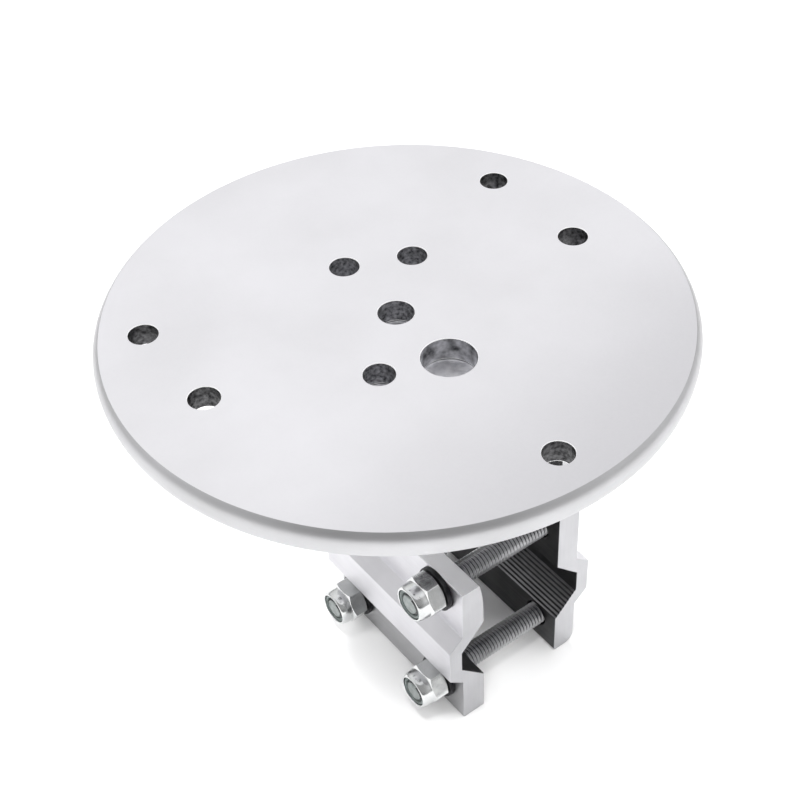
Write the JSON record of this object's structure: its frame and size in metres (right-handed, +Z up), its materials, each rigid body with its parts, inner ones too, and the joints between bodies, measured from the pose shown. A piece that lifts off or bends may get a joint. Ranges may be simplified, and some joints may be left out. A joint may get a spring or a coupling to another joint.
{
  "type": "round mounting plate on a rail clamp",
  "caption": "Flat round plate with a pattern of holes, carried on a two-jaw clamp that bolts onto a rail or bench edge.",
  "frame": {"origin": "on the floor under the centre of the round plate", "axes": "+X is the way the moving jaw closes, +Y runs along the clamped rail, +Z is up"},
  "size_m": [0.1684, 0.1684, 0.146],
  "materials": {
    "plate_metal": "fine satin, lightly brushed",
    "jaw_metal": "satin, as extruded",
    "nut_steel": "bright zinc plated",
    "bolt_steel": "oiled steel thread",
    "washer_steel": "black oxide",
    "screw_steel": "blackened",
    "nylon": "grey-green nylon"
  },
  "bodies": {
    "base": {"mounting_plate": "plate_metal", "fixed_jaw_bracket": "jaw_metal", "clamp_bolt_upper_front": "bolt_steel", "clamp_bolt_upper_rear": "bolt_steel", "clamp_bolt_lower_front": "bolt_steel", "clamp_bolt_lower_rear": "bolt_steel", "plate_screw_1": "screw_steel", "plate_screw_2": "screw_steel", "plate_screw_3": "screw_steel", "plate_screw_4": "screw_steel", "screw_washer_1": "washer_steel", "screw_washer_2": "washer_steel", "screw_washer_3": "washer_steel", "screw_washer_4": "washer_steel"},
    "jaw": {"moving_jaw": "jaw_metal", "nut_washer_upper_front": "washer_steel", "nut_washer_upper_rear": "washer_steel", "nut_washer_lower_front": "washer_steel", "nut_washer_lower_rear": "washer_steel"},
    "nut_upper_front": {"lock_nut_upper_front": "nut_steel", "nut_insert_upper_front": "nylon"},
    "nut_upper_rear": {"lock_nut_upper_rear": "nut_steel", "nut_insert_upper_rear": "nylon"},
    "nut_lower_front": {"lock_nut_lower_front": "nut_steel", "nut_insert_lower_front": "nylon"},
    "nut_lower_rear": {"lock_nut_lower_rear": "nut_steel", "nut_insert_lower_rear": "nylon"}
  },
  "joints": [
    {"name": "jaw_slide", "type": "slide", "parent": "base", "child": "jaw", "axis": [1, 0, 0], "range_m": [0, 0.029]},
    {"name": "nut_upper_front_spin", "type": "hinge", "parent": "jaw", "child": "nut_upper_front", "pos_m": [-0.0112, -0.0225, 0.0538], "axis": [1, 0, 0], "range_deg": [0, 8357]},
    {"name": "nut_upper_rear_spin", "type": "hinge", "parent": "jaw", "child": "nut_upper_rear", "pos_m": [-0.0112, 0.0215, 0.0538], "axis": [1, 0, 0], "range_deg": [0, 8357]},
    {"name": "nut_lower_front_spin", "type": "hinge", "parent": "jaw", "child": "nut_lower_front", "pos_m": [-0.0112, -0.0225, 0.0107], "axis": [1, 0, 0], "range_deg": [0, 8357]},
    {"name": "nut_lower_rear_spin", "type": "hinge", "parent": "jaw", "child": "nut_lower_rear", "pos_m": [-0.0112, 0.0215, 0.0107], "axis": [1, 0, 0], "range_deg": [0, 8357]}
  ],
  "couplings": [
    {"joint": "nut_upper_front_spin", "follows": "jaw_slide", "rad_per_m": 5026.5},
    {"joint": "nut_upper_rear_spin", "follows": "jaw_slide", "rad_per_m": 5026.5},
    {"joint": "nut_lower_front_spin", "follows": "jaw_slide", "rad_per_m": 5026.5},
    {"joint": "nut_lower_rear_spin", "follows": "jaw_slide", "rad_per_m": 5026.5}
  ]
}
